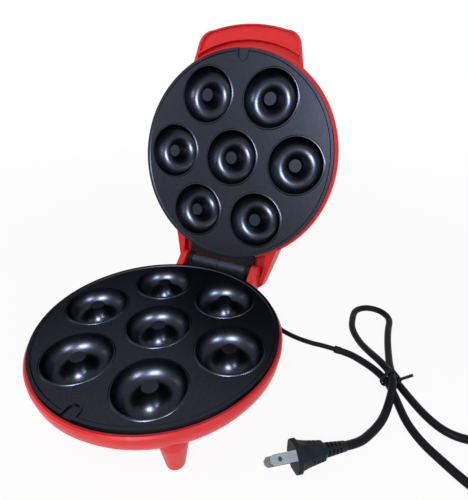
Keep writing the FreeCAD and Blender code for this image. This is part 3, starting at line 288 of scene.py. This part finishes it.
for row in frame["record"]["subparts"]:
    mesh = NODES[row["node"]].data
    mesh.materials.clear()
    mesh.materials.append(LOOKS[row["material_slot"]])


# Round forms shaded by their true curves


def plate_space(body):
    """The map from the row frame to a plate's own: x, y from its centre, and depth behind its face."""
    middle = Matrix.Translation((0, -AXIS_Y, 0))
    if body == "base":
        return Matrix.Diagonal((1, 1, -1, 1)) @ Matrix.Translation((0, 0, -FACE_Z)) @ middle
    shut = Matrix.Translation(HINGE) @ Matrix.Rotation(OPEN_ANGLE, 4, "X") @ Matrix.Translation(-HINGE)
    return Matrix.Translation((0, 0, -FACE_Z - PLATE_GAP)) @ middle @ shut


def well_normals(point):
    """Normals of the well nearest to a point: half an ellipse round its post, and a round lip."""
    centres = [Vector((0, 0))]
    for i in range(6):
        centres.append(WELL_RING_R * Vector((math.cos(i * math.pi / 3), math.sin(i * math.pi / 3))))
    away = min((point.xy - centre for centre in centres), key=lambda offset: offset.length)
    out = away.normalized()
    found = []
    if WELL_POST_R * 0.99 < away.length < WELL_R * 1.002 and point.z < WELL_DEPTH * 1.001:
        slope = ((WELL_R + WELL_POST_R) / 2 - away.length) / ((WELL_R - WELL_POST_R) / 2) ** 2
        found.append(Vector((*(out * slope), -max(point.z, 0) / WELL_DEPTH ** 2)).normalized())
    for rim, tilt in zip((WELL_R + LIP_W, WELL_R), LIP_TILTS):
        if abs(away.length - rim) < LIP_NEAR and point.z < LIP_NEAR:
            found.append(Vector((*(out * math.sin(tilt)), -math.cos(tilt))))
    return found


def shell_normal(form):
    """A function for the normals of a shell: an arc at its shoulder, then a wider one to its crown."""
    depth, shoulder_r, flat_r = form
    centre = Vector((SHELL_R - shoulder_r, BAND_DEPTH))
    fall, span = depth - BAND_DEPTH, centre.x - flat_r
    crown_r = (span ** 2 + fall ** 2 - shoulder_r ** 2) / (2 * (fall - shoulder_r))
    crown_centre = Vector((flat_r, depth - crown_r))
    meet = centre - crown_centre

    def normal(point):
        ring = Vector((point.xy.length, point.z))
        if ring.y < BAND_DEPTH * 0.999:
            return []
        out = ring - centre
        if out.x < 0 or out.y / out.x > meet.y / meet.x:
            out = ring - crown_centre
        out.x = max(out.x, 0)
        out.normalize()
        return [Vector((*(point.xy.normalized() * out.x), out.y))]

    return normal


def shade_round(node, body, true_normals, limit):
    """Gives a node's corners the normals of the curve that its bands follow."""
    mesh = NODES[node].data
    space = plate_space(body)
    turn = space.to_3x3()
    found = []
    for vertex in mesh.vertices:
        found.append([turn.transposed() @ normal for normal in true_normals(space @ vertex.co)])
    normals = [corner.vector.copy() for corner in mesh.corner_normals]
    for face in mesh.polygons:
        face.use_smooth = True
        for loop in face.loop_indices:
            for normal in found[mesh.loops[loop].vertex_index]:
                if normal.angle(face.normal) < limit:
                    normals[loop] = normal
    mesh.normals_split_custom_set(normals)


shade_round("base_plate", "base", well_normals, WELL_BEND)
shade_round("lid_plate", "lid", well_normals, WELL_BEND)
shade_round("base_shell", "base", shell_normal(BASE_FORM), SHELL_BEND)
shade_round("lid_shell", "lid", shell_normal(LID_FORM), SHELL_BEND)


# Cord, its jacket's end, plug and tie


def add_piece(name, data, slot):
    data.materials.append(LOOKS[slot])
    piece = add_object(name, data)
    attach(piece, "base")
    return piece


def tube(name, route, radius, slot):
    """A round cord, its route the control points of a smooth spline."""
    curve = bpy.data.curves.new(name, "CURVE")
    curve.dimensions = "3D"
    curve.bevel_depth = radius
    curve.bevel_resolution = 6
    curve.resolution_u = 8
    curve.use_fill_caps = True
    spline = curve.splines.new("NURBS")
    spline.points.add(len(route) - 1)
    for point, place in zip(spline.points, route):
        point.co = (*place, 1.0)
    spline.order_u = 3
    spline.use_endpoint_u = True
    return add_piece(name, curve, slot)


def skin(name, rings, slot, crease=math.radians(40)):
    """A closed skin over rings of points, capped at both ends and smooth up to the crease angle."""
    mesh = bmesh.new()
    loops = [[mesh.verts.new(point) for point in ring] for ring in rings]
    count = len(loops[0])
    for low, high in zip(loops, loops[1:]):
        for i in range(count):
            j = (i + 1) % count
            mesh.faces.new((low[i], low[j], high[j], high[i]))
    mesh.faces.new(loops[0][::-1])
    mesh.faces.new(loops[-1])
    bmesh.ops.recalc_face_normals(mesh, faces=mesh.faces)
    for face in mesh.faces:
        face.smooth = True
    for edge in mesh.edges:
        edge.smooth = edge.calc_face_angle(0) < crease
    data = bpy.data.meshes.new(name)
    mesh.to_mesh(data)
    mesh.free()
    return add_piece(name, data, slot)


def circle(radius, count=32):
    turns = [2 * math.pi * i / count for i in range(count)]
    return [Vector((radius * math.cos(turn), radius * math.sin(turn))) for turn in turns]


def jacket_end():
    """The end of the thick jacket, where the thin lead goes in."""
    start = Vector(CORD_ROUTE[0])
    rings = [[start + Vector((along, *spot)) for spot in circle(radius)] for radius, along in JACKET_PROFILE]
    return skin("jacket_end", rings, "cord_rubber")


def plug_place():
    """The map from the plug's own frame, whose z runs out along the blades."""
    axis = (PLUG_FACE - Vector(CORD_ROUTE[-1])).normalized()
    flat = Vector((-axis.y, axis.x, 0)).normalized()
    rise = flat.cross(axis)
    rise *= 1 if rise.z > 0 else -1
    part = rise * math.cos(PLUG_ROLL) + flat * math.sin(PLUG_ROLL)
    return Matrix.Translation(PLUG_FACE) @ Matrix((part.cross(axis), part, axis)).transposed().to_4x4()


def plug_ring(section, sunk=0.0, kept=0.0):
    """A ring of an eight-sided section with soft corners; beyond a half width it may be sunk."""
    depth, width, height, corner, power = section
    slant = corner * (width + height)
    place = plug_place()
    ring = []
    for i in range(PLUG_POINTS):
        turn = 2 * math.pi * i / PLUG_POINTS
        x, y = math.cos(turn), math.sin(turn)
        sides = (abs(x) / width, abs(y) / height, abs(x + y) / slant, abs(x - y) / slant)
        reach = sum(side ** power for side in sides) ** (-1 / power)
        if abs(x) * reach > kept:
            reach -= sunk
        ring.append(place @ Vector((x * reach, y * reach, -depth)))
    return ring


def grooved(ends, middles, width, sunk, kept):
    """Rings between two sections, with a groove at each of the middles; kept is the part left whole."""
    first, last = ends

    def section(depth):
        share = (depth - first[0]) / (last[0] - first[0])
        return [a + (b - a) * share for a, b in zip(first, last)]

    rings = [plug_ring(first)]
    for middle in middles:
        for offset, depth in ((-0.5, 0), (-0.4, sunk), (0.4, sunk), (0.5, 0)):
            rings.append(plug_ring(section(middle + offset * width), depth, kept))
    return rings + [plug_ring(last)]


def plug_body():
    """The plug: a flanged front, a grip with side grooves and a slotted strain relief."""
    rings = [plug_ring(section) for section in PLUG_FRONT]
    rings += grooved(PLUG_GRIP, GRIP_GROOVES, GROOVE_W, GROOVE_SUNK, GROOVE_KEPT)
    rings += grooved(PLUG_RELIEF, RELIEF_SLOTS, SLOT_W, SLOT_SUNK, SLOT_WEB)
    rings.append(plug_ring(PLUG_END))
    return skin("plug", rings, "plug_plastic", PLUG_CREASE)


def sweep(route, radius):
    """Rings round a route, turned as little as can be from one to the next."""
    rings = []
    side = Vector((0, 0, 1))
    for before, here, after in zip(route[:1] + route, route, route[1:] + route[-1:]):
        ahead = (after - before).normalized()
        side = (side - ahead * side.dot(ahead)).normalized()
        up = ahead.cross(side)
        rings.append([here + side * x + up * y for x, y in circle(radius, 10)])
    return rings


def twist_tie(line):
    """A wire wound round the strands at the tie, its ends twisted together."""
    ahead = Vector((math.cos(TIE_HEADING), math.sin(TIE_HEADING), 0))
    across = Vector((-ahead.y, ahead.x, 0))
    strands = []
    for here, after in zip(line, line[1:]):
        short, past = (here - TIE_CENTRE).dot(ahead), (after - TIE_CENTRE).dot(ahead)
        spot = here - TIE_CENTRE
        if short * past <= 0 and spot.length < TIE_REACH:
            strands.append(Vector((spot.dot(across), spot.z)))
    loops = []
    for i in range(TIE_TURNS * TIE_STEPS + 1):
        turn = 2 * math.pi * i / TIE_STEPS
        way = Vector((math.cos(turn), math.sin(turn)))
        spot = max(strands, key=lambda strand: strand.dot(way)) + way * (CORD_R + TIE_CLEAR)
        along = (i / TIE_STEPS - TIE_TURNS / 2) * TIE_SPREAD
        loops.append(TIE_CENTRE + across * spot.x + Vector((0, 0, spot.y)) + ahead * along)
    tails = []
    for phase in (0, math.pi):
        tail = []
        for i in range(TAIL_POINTS):
            turn = phase + math.pi * i / 4
            spot = across * (TAIL_START + TAIL_STEP * i) + Vector((0, 0, TAIL_RISE * i))
            spread = ahead * math.cos(turn) + Vector((0, 0, math.sin(turn)))
            tail.append((loops[0] + loops[-1]) / 2 + spot - spread * TIE_WIRE_R)
        tails.append(tail)
    return skin("tie", sweep(tails[0][::-1] + loops + tails[1], TIE_WIRE_R), "plug_plastic")


def line_of(piece):
    """Points along a cord's own smooth line."""
    bare = add_object("line", piece.data.copy())
    bare.data.bevel_depth = 0
    mesh = bpy.data.meshes.new_from_object(bare.evaluated_get(bpy.context.evaluated_depsgraph_get()))
    points = [vertex.co.copy() for vertex in mesh.vertices]
    bpy.data.meshes.remove(mesh)
    bpy.data.curves.remove(bare.data)
    return points


set_camera()

lead = tube("mains_lead", LEAD_ROUTE, LEAD_R, "cord_rubber")
cord = tube("mains_cord", CORD_ROUTE, CORD_R, "cord_rubber")
collar = jacket_end()
plug = plug_body()
tie = twist_tie(line_of(cord))
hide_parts("supply_lead")
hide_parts("power_cord")
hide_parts("plug_body")
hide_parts("twist_tie")


# Floor, backdrop and light


def seen_directly(nodes, links):
    """1 for rays from the camera and for mirror and clear paths, 0 for the light that falls on things."""
    path = nodes.new("ShaderNodeLightPath")
    total = path.outputs["Is Camera Ray"]
    for ray in ("Is Glossy Ray", "Is Transmission Ray"):
        joined = nodes.new("ShaderNodeMath")
        joined.operation = "MAXIMUM"
        links.new(total, joined.inputs[0])
        links.new(path.outputs[ray], joined.inputs[1])
        total = joined.outputs["Value"]
    return total


def set_world():
    """A white backdrop whose light on the part is plain."""
    world = bpy.data.worlds.new("world")
    world.use_nodes = True
    nodes, links = world.node_tree.nodes, world.node_tree.links
    strength = nodes.new("ShaderNodeMapRange")
    strength.inputs["To Min"].default_value = WORLD_LIGHT
    strength.inputs["To Max"].default_value = 1.0
    links.new(seen_directly(nodes, links), strength.inputs["Value"])
    nodes["Background"].inputs["Color"].default_value = (1, 1, 1, 1)
    links.new(strength.outputs["Result"], nodes["Background"].inputs["Strength"])
    bpy.context.scene.world = world


def set_floor():
    """A pale floor that takes the shadow near the part and runs into the white behind."""
    mesh = bmesh.new()
    bmesh.ops.create_circle(mesh, cap_ends=True, radius=FLOOR_R, segments=64)
    data = bpy.data.meshes.new("floor")
    mesh.to_mesh(data)
    mesh.free()
    floor = add_object("floor", data)
    floor.location = (0, 0, -FLOOR_DROP)
    material = bpy.data.materials.new("floor")
    material.use_nodes = True
    nodes, links = material.node_tree.nodes, material.node_tree.links
    shader = nodes["Principled BSDF"]
    shader.inputs["Base Color"].default_value = FLOOR_COLOUR
    shader.inputs["Roughness"].default_value = 0.9
    shader.inputs["Specular IOR Level"].default_value = 0.0
    glow = nodes.new("ShaderNodeEmission")
    place = nodes.new("ShaderNodeNewGeometry")
    far = nodes.new("ShaderNodeVectorMath")
    far.operation = "LENGTH"
    links.new(place.outputs["Position"], far.inputs[0])
    fade = nodes.new("ShaderNodeMapRange")
    fade.inputs["From Min"].default_value, fade.inputs["From Max"].default_value = FADE_RANGE
    fade.inputs["To Min"].default_value = FADE_NEAR
    links.new(far.outputs["Value"], fade.inputs["Value"])
    share = nodes.new("ShaderNodeMath")
    share.operation = "MULTIPLY"
    links.new(fade.outputs["Result"], share.inputs[0])
    links.new(seen_directly(nodes, links), share.inputs[1])
    mix = nodes.new("ShaderNodeMixShader")
    links.new(share.outputs["Value"], mix.inputs["Fac"])
    links.new(shader.outputs["BSDF"], mix.inputs[1])
    links.new(glow.outputs["Emission"], mix.inputs[2])
    links.new(mix.outputs["Shader"], nodes["Material Output"].inputs["Surface"])
    data.materials.append(material)


def add_lamp(name, place, target, size, power, glossed=None):
    """An area lamp; with a set of glossed things it gives those a highlight and lights nothing else."""
    data = bpy.data.lights.new(name, "AREA")
    data.shape = "RECTANGLE"
    data.size, data.size_y = size
    data.energy = power
    lamp = add_object(name, data)
    if glossed:
        data.color = GLOSS_COLOUR
        lamp.visible_diffuse = False
        lamp.light_linking.receiver_collection = glossed
    aim = Vector(target) - Vector(place)
    lamp.matrix_world = Matrix.Translation(place) @ aim.to_track_quat("-Z", "Y").to_matrix().to_4x4()


set_world()
set_floor()
for lamp in LAMPS:
    add_lamp(*lamp)
glossed = bpy.data.collections.new("glossed")
for node in GLOSSED:
    glossed.objects.link(NODES[node])
for lamp in GLOSS_LAMPS:
    add_lamp(*lamp, glossed)

bpy.context.scene.view_settings.view_transform = "Standard"
